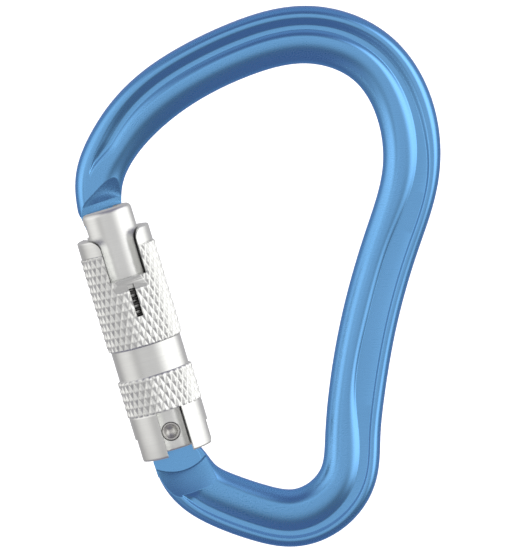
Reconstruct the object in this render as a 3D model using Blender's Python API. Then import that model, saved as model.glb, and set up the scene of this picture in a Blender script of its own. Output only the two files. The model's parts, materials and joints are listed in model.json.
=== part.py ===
"""Locking carabiner: a forged body, a sprung gate and a lift-and-twist locking sleeve.

The body lies in the XZ plane, with the front towards -Y. The world origin is the seat where a rope
or sling bears, on the inside of the wide top bow. The gate's own frame sits at the rivet: its Z runs
along the gate to the nose and its X points into the eye. All sizes are in millimetres.
"""

import math

import bmesh
import bpy
import numpy as np
from mathutils import Matrix, Vector

MM = 0.001  # one millimetre in metres

# The bow's centreline, from the nose over the top, down the spine and back to the tang: x, z, width
# in the plane, thickness across it, width of the pocket's floor, run of the pocket's inner and outer
# walls, and width of the outer rim.
BOW = (
    (-43.45, -32.6, 8.9, 9.2, 0.2, 1.0, 0.8, 2.8),
    (-43.7, -24.0, 10.1, 9.6, 0.3, 1.2, 1.2, 2.7),
    (-41.1, -17.5, 10.6, 10.0, 0.5, 1.7, 1.9, 2.3),
    (-36.9, -11.7, 11.3, 10.3, 0.7, 1.7, 2.1, 1.9),
    (-31.0, -6.2, 11.7, 10.5, 0.8, 1.8, 2.2, 1.7),
    (-23.4, -1.3, 11.7, 10.6, 0.8, 1.8, 2.2, 1.7),
    (-14.4, 2.9, 11.8, 10.7, 0.8, 1.7, 2.2, 1.7),
    (0.4, 6.0, 12.1, 10.8, 0.8, 1.7, 2.0, 1.9),
    (13.5, 1.0, 12.1, 10.8, 0.9, 1.7, 2.1, 1.8),
    (20.55, -10.7, 12.2, 10.4, 1.0, 3.0, 1.6, 2.3),
    (21.45, -23.4, 12.0, 10.0, 2.3, 3.3, 0.7, 2.1),
    (17.65, -37.0, 11.8, 9.8, 3.5, 2.1, 0.6, 2.1),
    (12.95, -53.7, 11.8, 9.8, 3.6, 2.0, 0.6, 2.1),
    (10.25, -69.5, 11.8, 9.8, 3.4, 2.1, 0.6, 2.1),
    (9.45, -78.5, 11.7, 10.0, 1.8, 3.6, 0.5, 2.1),
    (8.4, -87.15, 11.9, 10.3, 1.6, 3.8, 0.5, 2.2),
    (4.4, -92.75, 12.0, 10.5, 1.2, 4.6, 0.5, 2.3),
    (-2.6, -95.8, 12.0, 10.6, 0.9, 5.3, 0.4, 2.3),
    (-10.3, -94.7, 11.9, 10.5, 0.9, 5.3, 0.4, 2.3),
    (-17.3, -92.25, 11.7, 10.2, 0.9, 5.4, 0.4, 2.3),
    (-23.3, -88.8, 11.4, 9.9, 0.8, 5.4, 0.4, 2.2),
    (-26.8, -84.0, 10.9, 9.8, 0.5, 5.0, 0.4, 2.2),
    (-27.9, -81.9, 9.8, 9.6, 0.3, 3.0, 0.4, 2.2),
)
STATIONS = 92  # sections along the bow
WEB = 7.4  # thickness left between the two pockets, so their floors are flat
RIM_ROUND, RIM_POWER = 0.9, 0.85  # share of the rim that is rounded, and how full its rounding is
POCKET_START, START_SPREAD, START_SINK = 8.6, 8.0, 4.0  # where the pocket opens, and over what length
POCKET_END, END_SPREAD, END_SINK = 6.8, 2.6, 2.6

# The gate's frame.
RIVET_X, RIVET_Z = -28.75, -76.9
GATE_TILT = math.radians(16.6)  # the gate's top leans this far towards -X

# The gate barrel, along its own axis from the rivet.
GATE_RADIUS = 5.4
GATE_BOTTOM, GATE_TOP = -4.0, 48.4
GATE_CHAMFER = 0.6
WAIST_RADIUS, WAIST_BOTTOM, WAIST_TOP = 4.5, 13.2, 31.0
FORK_SLOT, FORK_TOP = 4.6, 5.3
PLUNGER_BORE, PLUNGER_BORE_TOP = 1.8, 28.0
KEY_FLOOR, KEY_CEILING, KEY_INNER = 43.5, 46.25, 2.7
KEY_WIDTH, KEY_NECK = 4.6, 3.0

# The nose above the gate: a flat band at its end, then a slanting facet that fades out.
NOSE_END, BAND_HEIGHT, FACET_SLOPE = 48.7, 1.5, 0.72
# Half thickness on the gate's axis, and its fall towards the eye, at the nose's end and above the band.
NOSE_BAND, NOSE_STEP = (2.9, 0.2), (2.6, 0.4)

# The nose hook that the gate's key slot closes over, and the tang in the gate's fork.
HOOK_BOTTOM, HOOK_SHOULDER, HOOK_INNER, HOOK_OUTER = 44.1, 45.9, 2.0, -4.9
HOOK_WIDTH, HOOK_NECK, NECK_OUTER, NECK_FOOT, NECK_FOOT_HEIGHT = 3.8, 2.3, -5.45, -5.2, 46.0
NOSE_SLANT = ((-5.4, 48.2), (-6.2, 52.6), (-9.0, 52.6), (-9.0, 48.2))  # what the outer corner loses
TANG = 4.0  # thickness
TANG_EYE = 4.6  # radius around the rivet
TANG_FLAT = 3.4  # height above the rivet of the flat that the plunger rests on
# How far the tang's flats reach, as (radius about the rivet, half thickness) pairs.
CHEEK = (
    (8.9, 1.96),
    (9.3, 2.3),
    (9.7, 2.52),
    (10.5, 2.9),
    (12.0, 3.66),
    (13.4, 4.46),
    (14.5, 5.2),
    (18.0, 7.6),
)
TANG_OUTLINE = (
    (-5.5, -9.0),
    (4.4, -9.0),
    (4.2, -6.4),
    (3.7, -4.9),
    (3.7, -4.3),
    (4.3, -1.4),
    (-4.3, -1.4),
    (-5.1, -5.0),
    (-5.6, -5.6),
)

# The rivet and the guide pin.
RIVET_SHAFT, RIVET_HEAD, RIVET_HEAD_DEPTH, RIVET_REACH = 1.5, 1.9, 1.1, 5.3
PIN_RADIUS, PIN_HEIGHT, PIN_INNER, PIN_OUTER = 1.0, 9.4, 3.2, 6.9

# The locking sleeve, which rests turned a little from square.
SLEEVE_TURN = math.radians(7.0)
SLEEVE_BOTTOM, SLEEVE_TOP = -5.0, 43.1
SLEEVE_BORE, CHAMBER_BORE = 5.7, 6.7
CHAMBER_BOTTOM, CHAMBER_TOP = 13.5, 31.3
RING_BOTTOM, RING_TOP, GRIP_BOTTOM, GRIP_TOP = 4.7, 12.6, 18.9, 39.4
GRIP_RADIUS, SKIRT_RADIUS, WAIST_OUTER, EAR_RADIUS = 8.1, 7.9, 7.55, 7.8
SLEEVE_EDGE = 0.7  # chamfer at both ends
WINDOW_WIDTH, WINDOW_FLOOR, WINDOW_CORNER = 7.9, 33.6, 2.4
LAND_BOTTOM, LAND_TOP, LAND_OUTER, LAND_INNER = 31.05, 32.8, 8.0, 7.25  # the cone under the window
SLOT_WIDTH, SLOT_BOTTOM, SLOT_TOP = 1.35, 25.3, 31.9
NOTCH_WIDTH, SIDE_NOTCH_WIDTH, SIDE_NOTCH_TOP = 5.6, 5.2, -0.1
CAM_RADIUS, CAM_BOTTOM, CAM_TOP = 7.15, 5.7, 10.7

# Travel of the locking sleeve, which the cam pocket allows.
SLEEVE_TWIST = math.radians(83.0)
CAM_MARGIN = math.radians(14.0)

# Springs and small rings.
SLEEVE_SPRING = {"radius": 5.85, "wire": 0.35, "bottom": 15.4, "top": 29.6, "turns": 11}
GATE_SPRING = {"radius": 1.25, "wire": 0.2, "bottom": 12.5, "top": 27.6, "turns": 11}
WASHER_BORE, WASHER_RADIUS, WASHER_BOTTOM, WASHER_TOP = 4.8, 6.4, 13.8, 14.7
RING_BORE, RING_OUTER, RING_LOW, RING_HIGH = 4.7, 6.4, 30.0, 30.7
SPLIT_WIDTH = 2.4  # gap in each split ring
PLUNGER_RADIUS, PLUNGER_TIP, PLUNGER_TOP, PLUNGER_DOME = 1.55, 3.65, 12.2, 1.55

ROUND = 48  # facets around a turned piece
SMALL_ROUND = 20


def clear_scene():
    for item in list(bpy.data.objects):
        bpy.data.objects.remove(item)


def material(name, colour, metallic, roughness):
    made = bpy.data.materials.new(name)
    made.use_nodes = True
    shader = made.node_tree.nodes["Principled BSDF"]
    shader.inputs["Base Color"].default_value = (*colour, 1.0)
    shader.inputs["Metallic"].default_value = metallic
    shader.inputs["Roughness"].default_value = roughness
    made.diffuse_color = (*colour, 1.0)
    return made


def mesh_object(name, points, faces, made_of=None, parent=None):
    """An object from points in millimetres, with its faces turned outwards."""
    mesh = bpy.data.meshes.new(name)
    mesh.from_pydata([Vector(p) * MM for p in points], [], faces)
    shape = bmesh.new()
    shape.from_mesh(mesh)
    bmesh.ops.recalc_face_normals(shape, faces=shape.faces)
    shape.to_mesh(mesh)
    shape.free()
    mesh.shade_smooth()
    mesh.set_sharp_from_angle(angle=math.radians(35))
    item = bpy.data.objects.new(name, mesh)
    bpy.context.scene.collection.objects.link(item)
    if made_of:
        mesh.materials.append(made_of)
    item.parent = parent
    return item


def skin(loops, closed):
    """Faces that join equal loops of points, with caps at the ends unless the loops close up."""
    count, size = len(loops), len(loops[0])
    faces = []
    for i in range(count if closed else count - 1):
        j = (i + 1) % count
        for a in range(size):
            b = (a + 1) % size
            faces.append((i * size + a, i * size + b, j * size + b, j * size + a))
    if not closed:
        faces.append(tuple(range(size)))
        faces.append(tuple(range((count - 1) * size, count * size)))
    return faces


def lofted(name, loops, made_of=None, parent=None, closed=False):
    points = [p for loop in loops for p in loop]
    return mesh_object(name, points, skin(loops, closed), made_of, parent)


def ring(name, profile, made_of=None, parent=None, segments=ROUND):
    """A closed profile of (radius, height) pairs, turned about Z."""
    loops = []
    for i in range(segments):
        angle = math.tau * i / segments
        loops.append([(r * math.cos(angle), r * math.sin(angle), z) for r, z in profile])
    return lofted(name, loops, made_of, parent, closed=True)


def solid_turned(name, profile, made_of=None, parent=None, segments=ROUND):
    """A solid whose outline runs from bottom to top as (radius, height) pairs about Z."""
    loops = []
    for r, z in profile:
        turn = [math.tau * i / segments for i in range(segments)]
        loops.append([(r * math.cos(a), r * math.sin(a), z) for a in turn])
    return lofted(name, loops, made_of, parent)


def prism(name, outline, low, high, parent=None, turn=0.0):
    """An outline of (x, z) pairs, extruded along Y from low to high, then turned about Z."""
    turned = Matrix.Rotation(turn, 3, "Z")
    loops = [[turned @ Vector((x, y, z)) for x, z in outline] for y in (low, high)]
    return lofted(name, loops, None, parent)


def block(name, x, y, z, parent=None, turn=0.0):
    outline = ((x[0], z[0]), (x[1], z[0]), (x[1], z[1]), (x[0], z[1]))
    return prism(name, outline, y[0], y[1], parent, turn)


def cross_cylinder(name, radius, low, high, parent, height, segments=SMALL_ROUND, made_of=None):
    """A cylinder along Y, from low to high, centred at a height on the gate's axis."""
    loops = []
    for y in (low, high):
        turn = [math.tau * (i + 0.5) / segments for i in range(segments)]
        loops.append([(radius * math.cos(a), y, height + radius * math.sin(a)) for a in turn])
    return lofted(name, loops, made_of, parent)


def combine(target, other, operation):
    """Cuts or joins another object, which then stays as a hidden helper."""
    step = target.modifiers.new(other.name, "BOOLEAN")
    step.operation = operation
    step.object = other
    step.solver = "EXACT"
    other.hide_render = True
    other.display_type = "WIRE"


def cut(target, other):
    combine(target, other, "DIFFERENCE")


def join(target, other):
    combine(target, other, "UNION")


def spline(knots, values):
    """A natural cubic spline through rows of values, as a function of the knot parameter."""
    steps = np.diff(knots)
    system = np.eye(len(knots))
    bends = np.zeros_like(values)
    for i in range(1, len(knots) - 1):
        before, after = steps[i - 1], steps[i]
        system[i, i - 1 : i + 2] = before, 2 * (before + after), after
        rise = (values[i + 1] - values[i]) / after - (values[i] - values[i - 1]) / before
        bends[i] = 6 * rise
    bends = np.linalg.solve(system, bends)

    def at(place):
        i = min(int(np.searchsorted(knots, place, side="right")) - 1, len(steps) - 1)
        h, left, right = steps[i], knots[i + 1] - place, place - knots[i]
        curve = (bends[i] * left**3 + bends[i + 1] * right**3) / (6 * h)
        line = (values[i] / h - bends[i] * h / 6) * left
        return curve + line + (values[i + 1] / h - bends[i + 1] * h / 6) * right

    return at


def ease(share):
    """A smooth step from 0 to 1."""
    share = min(max(share, 0.0), 1.0)
    return share * share * (3 - 2 * share)


def wave(start, end, lead, trail, steps):
    """Points between two levels that leave and arrive level, by a share of the run at each end."""
    run = end[0] - start[0]
    handles = (start, (start[0] + run * lead, start[1]), (end[0] - run * trail, end[1]), end)
    points = []
    for i in range(steps + 1):
        t = i / steps
        weights = ((1 - t) ** 3, 3 * t * (1 - t) ** 2, 3 * t * t * (1 - t), t**3)
        points.append(tuple(sum(w * p[k] for w, p in zip(weights, handles)) for k in (0, 1)))
    return points


def bow_section(width, thickness, floor, inner_wall, outer_wall, rim, spread, sunk):
    """Half of the section, from the inside of the bow to its outside, as (across, height) pairs."""
    half, top = width / 2, thickness / 2
    bed = top - (top - WEB / 2) * sunk
    inner, outer = width - rim - outer_wall - floor - inner_wall - 0.1, rim * RIM_ROUND
    floor, inner_wall, outer_wall = (0.15 + (run - 0.15) * spread for run in (floor, inner_wall, outer_wall))
    foot = half - rim - outer_wall
    crest = foot - floor - inner_wall
    points = []
    for degrees in (0, 15, 30, 45, 60, 75, 90):
        angle = math.radians(degrees)
        points.append((-half + inner * (1 - math.cos(angle)), top * math.sin(angle)))
    points += wave((crest, top), (foot - floor, bed), 0.8, 0.15, 4)
    points += wave((foot, bed), (half - rim, top), 0.35, 0.5, 3)
    for degrees in (90, 65, 40, 20, 0):
        angle = math.radians(degrees)
        across, height = (max(value, 0.0) ** RIM_POWER for value in (math.cos(angle), math.sin(angle)))
        points.append((half - outer * (1 - across), top * height))
    return points


def bow_loops():
    """The section's loop at every station along the bow."""
    table = np.array(BOW)
    chords = np.hypot(*np.diff(table[:, :2], axis=0).T)
    knots = np.concatenate([[0], np.cumsum(chords)])
    at = spline(knots, table)
    length, nudge = knots[-1], 0.01
    loops = []
    for place in np.linspace(0, length, STATIONS):
        x, z, *shape = at(place)
        ahead = at(min(place + nudge, length)) - at(max(place - nudge, 0))
        along = Vector((ahead[0], 0, ahead[1])).normalized()
        outward = Vector((-along.z, 0, along.x))
        after, before = place - POCKET_START, length - POCKET_END - place
        spread = min(ease(0.12 + 0.88 * after / START_SPREAD), ease(before / END_SPREAD))
        sunk = min(ease(after / START_SINK), ease(before / END_SINK))
        half = bow_section(*shape, spread, sunk)
        centre = Vector((x, 0, z))
        front = [centre + outward * u + Vector((0, -v, 0)) for u, v in half]
        back = [centre + outward * u + Vector((0, v, 0)) for u, v in reversed(half[1:])]
        loops.append(front + back)
    return loops


def nose_facet(name, side, gate_axis):
    """Takes a flat band and, above it, a slanting facet off one face of the nose."""
    reach, rise, outside = 8.0, 8.0, 14.0
    step = NOSE_END + BAND_HEIGHT
    rows = ((NOSE_END - 1, NOSE_BAND, 0), (step, NOSE_STEP, 0), (step + rise, NOSE_STEP, rise * FACET_SLOPE))
    near = []
    for height, (middle, fall), lift in rows:
        near += [(x, side * (middle - fall * x + lift), height) for x in (-reach, reach)]
    far = [(x, side * outside, z) for x, y, z in near]
    faces = [(0, 1, 3, 2), (2, 3, 5, 4), (6, 8, 9, 7), (8, 10, 11, 9)]
    faces += [(0, 2, 8, 6), (2, 4, 10, 8), (1, 7, 9, 3), (3, 9, 11, 5), (0, 6, 7, 1), (4, 5, 11, 10)]
    return mesh_object(name, near + far, faces, None, gate_axis)


def body(gate_axis, blue):
    """The forged body, with the hook at its nose and the tang that the gate turns on."""
    item = lofted("body", bow_loops(), blue)
    far = 3 * GATE_RADIUS
    for side, name in ((-1, "front"), (1, "back")):
        cheek = solid_turned(f"cheek_{name}", CHEEK, None, gate_axis)
        cheek.data.transform(Matrix.Rotation(-side * math.pi / 2, 4, "X"))
        cut(item, cheek)
        cut(item, nose_facet(f"facet_{name}", side, gate_axis))
    path = [(x, math.sqrt(NOSE_END**2 - x * x)) for x in range(-14, 15)]  # clears the swinging gate
    below = NOSE_END - far
    cut(item, prism("nose_end", [*path, (14, below), (-14, below)], -far, far, gate_axis))
    cut(item, prism("nose_slant", NOSE_SLANT, -far, far, gate_axis))
    join(item, prism("tang_plate", TANG_OUTLINE, -TANG / 2, TANG / 2, gate_axis))
    join(item, eye_of_tang(gate_axis))
    cut(item, cross_cylinder("rivet_bore", RIVET_SHAFT + 0.15, -far, far, gate_axis, 0))
    half = HOOK_WIDTH / 2
    head = ((HOOK_OUTER, HOOK_INNER), (-half, half), (HOOK_BOTTOM, HOOK_SHOULDER))
    join(item, block("hook_head", *head, gate_axis))
    overlap = 0.6
    low, high, inner = HOOK_SHOULDER - overlap, NOSE_END + overlap, HOOK_INNER - 0.3
    neck = ((NECK_FOOT, low), (inner, low), (inner, high), (NECK_OUTER + 0.2, high), (NECK_OUTER, NOSE_END),
            (NECK_FOOT, NECK_FOOT_HEIGHT))
    join(item, prism("hook_neck", neck, -HOOK_NECK / 2, HOOK_NECK / 2, gate_axis))
    return item


def eye_of_tang(gate_axis):
    """The round end of the tang, with the flat that the plunger rests on at the top."""
    reach = math.acos(TANG_FLAT / TANG_EYE)
    first, last = math.pi / 2 + reach, math.pi / 2 - reach + math.tau
    outline = []
    for i in range(ROUND):
        angle = first + (last - first) * i / (ROUND - 1)
        outline.append((TANG_EYE * math.cos(angle), TANG_EYE * math.sin(angle)))
    return prism("tang_eye", outline, -TANG / 2 + 0.01, TANG / 2 - 0.01, gate_axis)


def gate_barrel(gate_axis, silver):
    """The turned gate: a fork at the rivet, a waist for the spring and the key slot at the nose."""
    top = GATE_TOP - GATE_CHAMFER
    profile = (
        (GATE_RADIUS, GATE_BOTTOM),
        (GATE_RADIUS, WAIST_BOTTOM),
        (WAIST_RADIUS, WAIST_BOTTOM),
        (WAIST_RADIUS, WAIST_TOP),
        (GATE_RADIUS, WAIST_TOP),
        (GATE_RADIUS, top),
        (GATE_RADIUS - GATE_CHAMFER, GATE_TOP),
    )
    item = solid_turned("gate_barrel", profile, silver, gate_axis)
    far = 2 * GATE_RADIUS
    half = FORK_SLOT / 2
    cut(item, block("fork_slot", (-far, far), (-half, half), (GATE_BOTTOM - 1, FORK_TOP), gate_axis))
    bore = ((PLUNGER_BORE, FORK_TOP - 1), (PLUNGER_BORE, PLUNGER_BORE_TOP))
    cut(item, solid_turned("plunger_bore", bore, None, gate_axis, SMALL_ROUND))
    half = KEY_WIDTH / 2
    cut(item, block("key_slot", (-far, KEY_INNER), (-half, half), (KEY_FLOOR, KEY_CEILING), gate_axis))
    half = KEY_NECK / 2
    throat = (KEY_CEILING - 1, GATE_TOP + 1)
    cut(item, block("key_neck", (-far, KEY_INNER), (-half, half), throat, gate_axis))
    cut(item, cross_cylinder("gate_bore", RIVET_SHAFT + 0.1, -far, far, gate_axis, 0))
    seat = RIVET_REACH - RIVET_HEAD_DEPTH - 0.1
    for side, name in ((-1, "front"), (1, "back")):
        reach = sorted((side * seat, side * far))
        cut(item, cross_cylinder(f"head_seat_{name}", RIVET_HEAD + 0.1, *reach, gate_axis, 0))
    cut(item, cross_cylinder("pin_hole", PIN_RADIUS + 0.05, PIN_INNER - 0.1, far, gate_axis, PIN_HEIGHT))
    return item


def hinge_rivet(gate_axis, steel):
    """The rivet through the fork and the tang, with a dished head at each end."""
    dish = RIVET_HEAD - 0.45
    half = (
        (dish * 0.4, RIVET_REACH - 0.55),
        (dish, RIVET_REACH - 0.2),
        (RIVET_HEAD - 0.15, RIVET_REACH),
        (RIVET_HEAD, RIVET_REACH - 0.2),
        (RIVET_HEAD, RIVET_REACH - RIVET_HEAD_DEPTH),
        (RIVET_SHAFT, RIVET_REACH - RIVET_HEAD_DEPTH),
    )
    profile = [(r, -y) for r, y in half] + [(r, y) for r, y in reversed(half)]
    item = solid_turned("hinge_rivet", profile, steel, None, SMALL_ROUND + 4)
    item.data.transform(Matrix.Rotation(math.pi / 2, 4, "X"))
    item.parent = gate_axis
    return item


def gate_plunger(gate_axis, steel):
    """The domed pin in the gate's bore that presses on the tang's flat and closes the gate."""
    profile = []
    for degrees in (12, 40, 68, 90):
        angle = math.radians(degrees)
        drop = PLUNGER_DOME * (1 - math.cos(angle))
        profile.append((PLUNGER_RADIUS * math.sin(angle), PLUNGER_TIP + drop))
    profile.append((PLUNGER_RADIUS, PLUNGER_TOP))
    return solid_turned("gate_plunger", profile, steel, gate_axis, SMALL_ROUND)


def coil(name, spring, made_of, parent, sides=6, steps=14):
    """A compression spring: a round wire along a helix about Z."""
    path = []
    for i in range(spring["turns"] * steps + 1):
        angle, share = math.tau * i / steps, i / (spring["turns"] * steps)
        height = spring["bottom"] + (spring["top"] - spring["bottom"]) * share
        x, y = spring["radius"] * math.cos(angle), spring["radius"] * math.sin(angle)
        path.append(Vector((x, y, height)))
    loops = []
    for i, centre in enumerate(path):
        along = (path[min(i + 1, len(path) - 1)] - path[max(i - 1, 0)]).normalized()
        outward = Vector((centre.x, centre.y, 0)).normalized()
        upward = along.cross(outward)
        turn, wire = [math.tau * k / sides for k in range(sides)], spring["wire"]
        loops.append([centre + (outward * math.cos(a) + upward * math.sin(a)) * wire for a in turn])
    return lofted(name, loops, made_of, parent)


def split_ring(name, bore, outer, low, high, made_of, gate_axis):
    """A flat ring with a gap at its back, so that it springs over the gate."""
    item = ring(name, ((bore, low), (outer, low), (outer, high), (bore, high)), made_of, gate_axis, 40)
    gap = SPLIT_WIDTH / 2
    cut(item, block(f"{name}_gap", (-gap, gap), (bore - 1, outer + 1), (low - 1, high + 1), gate_axis))
    return item


def guide_pin(gate_axis, steel):
    """The pin pressed into the back of the gate, which runs in the sleeve's cam pocket."""
    ends = (PIN_INNER, PIN_OUTER)
    return cross_cylinder("guide_pin", PIN_RADIUS, *ends, gate_axis, PIN_HEIGHT, made_of=steel)


def window_outline():
    """The U-shaped window, from its floor up past the sleeve's top; its top corners flare into the ears."""
    half, flare = WINDOW_WIDTH / 2, WINDOW_CORNER
    outline = [(-half, WINDOW_FLOOR), (half, WINDOW_FLOOR)]
    for degrees in range(0, 91, 18):
        angle = math.radians(degrees)
        outline.append((half + flare * (1 - math.cos(angle)), SLEEVE_TOP - flare * (1 - math.sin(angle))))
    outline += [(half + flare, SLEEVE_TOP + 2), (-half - flare, SLEEVE_TOP + 2)]
    outline += [(-x, z) for x, z in reversed(outline[2:8])]
    return outline


def sector(name, corners, start, sweep, steps, gate_axis):
    """A closed outline of (radius, height) corners, swept about the gate's axis."""
    loops = []
    for i in range(steps + 1):
        angle = start + sweep * i / steps
        loops.append([(r * math.cos(angle), r * math.sin(angle), z) for r, z in corners])
    return lofted(name, loops, None, gate_axis)


def cam_pocket(gate_axis):
    """The pocket in the sleeve's bore where the guide pin lifts and turns."""
    corners = ((SLEEVE_BORE - 1, CAM_BOTTOM), (CAM_RADIUS, CAM_BOTTOM), (CAM_RADIUS, CAM_TOP),
               (SLEEVE_BORE - 1, CAM_TOP))
    start = math.pi / 2 - SLEEVE_TWIST - CAM_MARGIN
    return sector("cam_pocket", corners, start, SLEEVE_TWIST + 2 * CAM_MARGIN, 16, gate_axis)


def window_land(name, middle, gate_axis):
    """The smooth cone under the window, with a short wall up to the window's floor."""
    above, far = WINDOW_FLOOR + 1, 2 * GRIP_RADIUS
    corners = ((LAND_OUTER, LAND_BOTTOM), (far, LAND_BOTTOM), (far, above), (LAND_INNER, above),
               (LAND_INNER, LAND_TOP))
    reach = math.asin(WINDOW_WIDTH / 2 / LAND_OUTER)
    return sector(name, corners, middle + SLEEVE_TURN - reach, 2 * reach, 10, gate_axis)


def lock_sleeve(gate_axis, silver):
    """The turned sleeve, with its window, spring slot, notches and cam pocket."""
    edge = SLEEVE_EDGE
    profile = (
        (SLEEVE_BORE, SLEEVE_BOTTOM),
        (SKIRT_RADIUS - edge, SLEEVE_BOTTOM),
        (SKIRT_RADIUS, SLEEVE_BOTTOM + edge),
        (SKIRT_RADIUS, RING_BOTTOM),
        (GRIP_RADIUS, RING_BOTTOM + 0.2),
        (GRIP_RADIUS, RING_TOP - 0.4),
        (WAIST_OUTER, RING_TOP),
        (WAIST_OUTER, GRIP_BOTTOM),
        (GRIP_RADIUS, GRIP_BOTTOM + 0.4),
        (GRIP_RADIUS, GRIP_TOP - 0.2),
        (EAR_RADIUS, GRIP_TOP),
        (EAR_RADIUS, SLEEVE_TOP - edge / 2),
        (EAR_RADIUS - edge / 2, SLEEVE_TOP),
        (SLEEVE_BORE, SLEEVE_TOP),
        (SLEEVE_BORE, CHAMBER_TOP),
        (CHAMBER_BORE, CHAMBER_TOP),
        (CHAMBER_BORE, CHAMBER_BOTTOM),
        (SLEEVE_BORE, CHAMBER_BOTTOM),
    )
    item = ring("lock_sleeve", profile, silver, gate_axis)
    far = 2 * GRIP_RADIUS
    cut(item, prism("window", window_outline(), -far, far, gate_axis, SLEEVE_TURN))
    half = SLOT_WIDTH / 2
    cut(item, block("leg_slot", (-half, half), (-far, 0), (SLOT_BOTTOM, SLOT_TOP), gate_axis, SLEEVE_TURN))
    half, below = NOTCH_WIDTH / 2, SLEEVE_BOTTOM - 1
    cut(item, block("notch", (-half, half), (-far, far), (below, RING_BOTTOM), gate_axis, SLEEVE_TURN))
    half = SIDE_NOTCH_WIDTH / 2
    cut(item, block("side_notch", (-far, far), (-half, half), (below, SIDE_NOTCH_TOP), gate_axis))
    cut(item, cam_pocket(gate_axis))
    cut(item, window_land("land_front", -math.pi / 2, gate_axis))
    cut(item, window_land("land_back", math.pi / 2, gate_axis))
    return item


def build():
    clear_scene()
    gate_axis = bpy.data.objects.new("gate_axis", None)
    bpy.context.scene.collection.objects.link(gate_axis)
    gate_axis.location = (RIVET_X * MM, 0, RIVET_Z * MM)
    gate_axis.rotation_euler = (0, -GATE_TILT, 0)
    blue = material("anodised_blue", (0.09, 0.24, 0.52), 1.0, 0.28)
    silver = material("satin_aluminium", (0.78, 0.78, 0.77), 1.0, 0.34)
    steel = material("stainless_steel", (0.62, 0.60, 0.57), 1.0, 0.3)
    spring_steel = material("spring_steel", (0.45, 0.44, 0.43), 1.0, 0.35)
    body(gate_axis, blue)
    gate_barrel(gate_axis, silver)
    hinge_rivet(gate_axis, steel)
    gate_plunger(gate_axis, steel)
    coil("gate_spring", GATE_SPRING, spring_steel, gate_axis, sides=6, steps=10)
    guide_pin(gate_axis, steel)
    split_ring("spring_stop_ring", RING_BORE, RING_OUTER, RING_LOW, RING_HIGH, spring_steel, gate_axis)
    coil("sleeve_spring", SLEEVE_SPRING, spring_steel, gate_axis)
    split_ring("lift_washer", WASHER_BORE, WASHER_RADIUS, WASHER_BOTTOM, WASHER_TOP, steel, gate_axis)
    lock_sleeve(gate_axis, silver)


build()
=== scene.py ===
"""Looks of the locking carabiner: forged body, turned gate, knurled sleeve, springs, studio and camera.

Sizes below are in millimetres, but for those of the studio and the camera, which are in metres. The
gate's own frame sits at its rivet: Z runs along the gate to the nose and X points into the eye. It is
read from the record's joints, so it is where the CAD put it.
"""

import json
import math

import bmesh
import bpy
import numpy as np
from mathutils import Matrix, Vector


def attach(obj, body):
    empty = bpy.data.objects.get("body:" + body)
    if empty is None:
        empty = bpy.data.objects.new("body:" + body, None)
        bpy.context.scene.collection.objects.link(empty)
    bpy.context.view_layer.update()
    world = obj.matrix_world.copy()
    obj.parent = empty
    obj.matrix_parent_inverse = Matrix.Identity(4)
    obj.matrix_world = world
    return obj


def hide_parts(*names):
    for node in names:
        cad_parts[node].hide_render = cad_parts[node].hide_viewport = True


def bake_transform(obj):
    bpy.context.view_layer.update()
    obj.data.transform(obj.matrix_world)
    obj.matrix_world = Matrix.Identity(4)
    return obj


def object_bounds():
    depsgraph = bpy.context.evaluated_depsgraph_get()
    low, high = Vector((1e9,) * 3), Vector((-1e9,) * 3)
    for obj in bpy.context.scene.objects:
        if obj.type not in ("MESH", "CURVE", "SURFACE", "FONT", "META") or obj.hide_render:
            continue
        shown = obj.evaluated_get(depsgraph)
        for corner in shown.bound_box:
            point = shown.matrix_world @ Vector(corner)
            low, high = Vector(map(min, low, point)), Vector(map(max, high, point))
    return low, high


MM = 0.001  # one millimetre in metres

# The bow's centreline from the nose over the top, down the spine and back to the tang: x, z, width,
# thickness, width of the pocket's floor, run of its inner and outer walls, and width of the outer rim.
BOW = (
    (-43.45, -32.6, 8.9, 9.2, 0.2, 1.0, 0.8, 2.8),
    (-43.7, -24.0, 10.1, 9.6, 0.3, 1.2, 1.2, 2.7),
    (-41.1, -17.5, 10.6, 10.0, 0.5, 1.7, 1.9, 2.3),
    (-36.9, -11.7, 11.3, 10.3, 0.7, 1.7, 2.1, 1.9),
    (-31.0, -6.2, 11.7, 10.5, 0.8, 1.8, 2.2, 1.7),
    (-23.4, -1.3, 11.7, 10.6, 0.8, 1.8, 2.2, 1.7),
    (-14.4, 2.9, 11.8, 10.7, 0.8, 1.7, 2.2, 1.7),
    (0.4, 6.0, 12.1, 10.8, 0.8, 1.7, 2.0, 1.9),
    (13.5, 1.0, 12.1, 10.8, 0.9, 1.7, 2.1, 1.8),
    (20.55, -10.7, 12.2, 10.4, 1.0, 3.0, 1.6, 2.3),
    (21.45, -23.4, 12.0, 10.0, 2.3, 3.3, 0.7, 2.1),
    (17.65, -37.0, 11.8, 9.8, 3.5, 2.1, 0.6, 2.1),
    (12.95, -53.7, 11.8, 9.8, 3.6, 2.0, 0.6, 2.1),
    (10.25, -69.5, 11.8, 9.8, 3.4, 2.1, 0.6, 2.1),
    (9.45, -78.5, 11.7, 10.0, 1.8, 3.6, 0.5, 2.1),
    (8.4, -87.15, 11.9, 10.3, 1.6, 3.8, 0.5, 2.2),
    (4.4, -92.75, 12.0, 10.5, 1.2, 4.6, 0.5, 2.3),
    (-2.6, -95.8, 12.0, 10.6, 0.9, 5.3, 0.4, 2.3),
    (-10.3, -94.7, 11.9, 10.5, 0.9, 5.3, 0.4, 2.3),
    (-17.3, -92.25, 11.7, 10.2, 0.9, 5.4, 0.4, 2.3),
    (-23.3, -88.8, 11.4, 9.9, 0.8, 5.4, 0.4, 2.2),
    (-26.8, -84.0, 10.9, 9.8, 0.5, 5.0, 0.4, 2.2),
    (-27.9, -81.9, 9.8, 9.6, 0.3, 3.0, 0.4, 2.2),
)
STATIONS = 460
WEB = 7.4  # thickness left between the pockets
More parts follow.
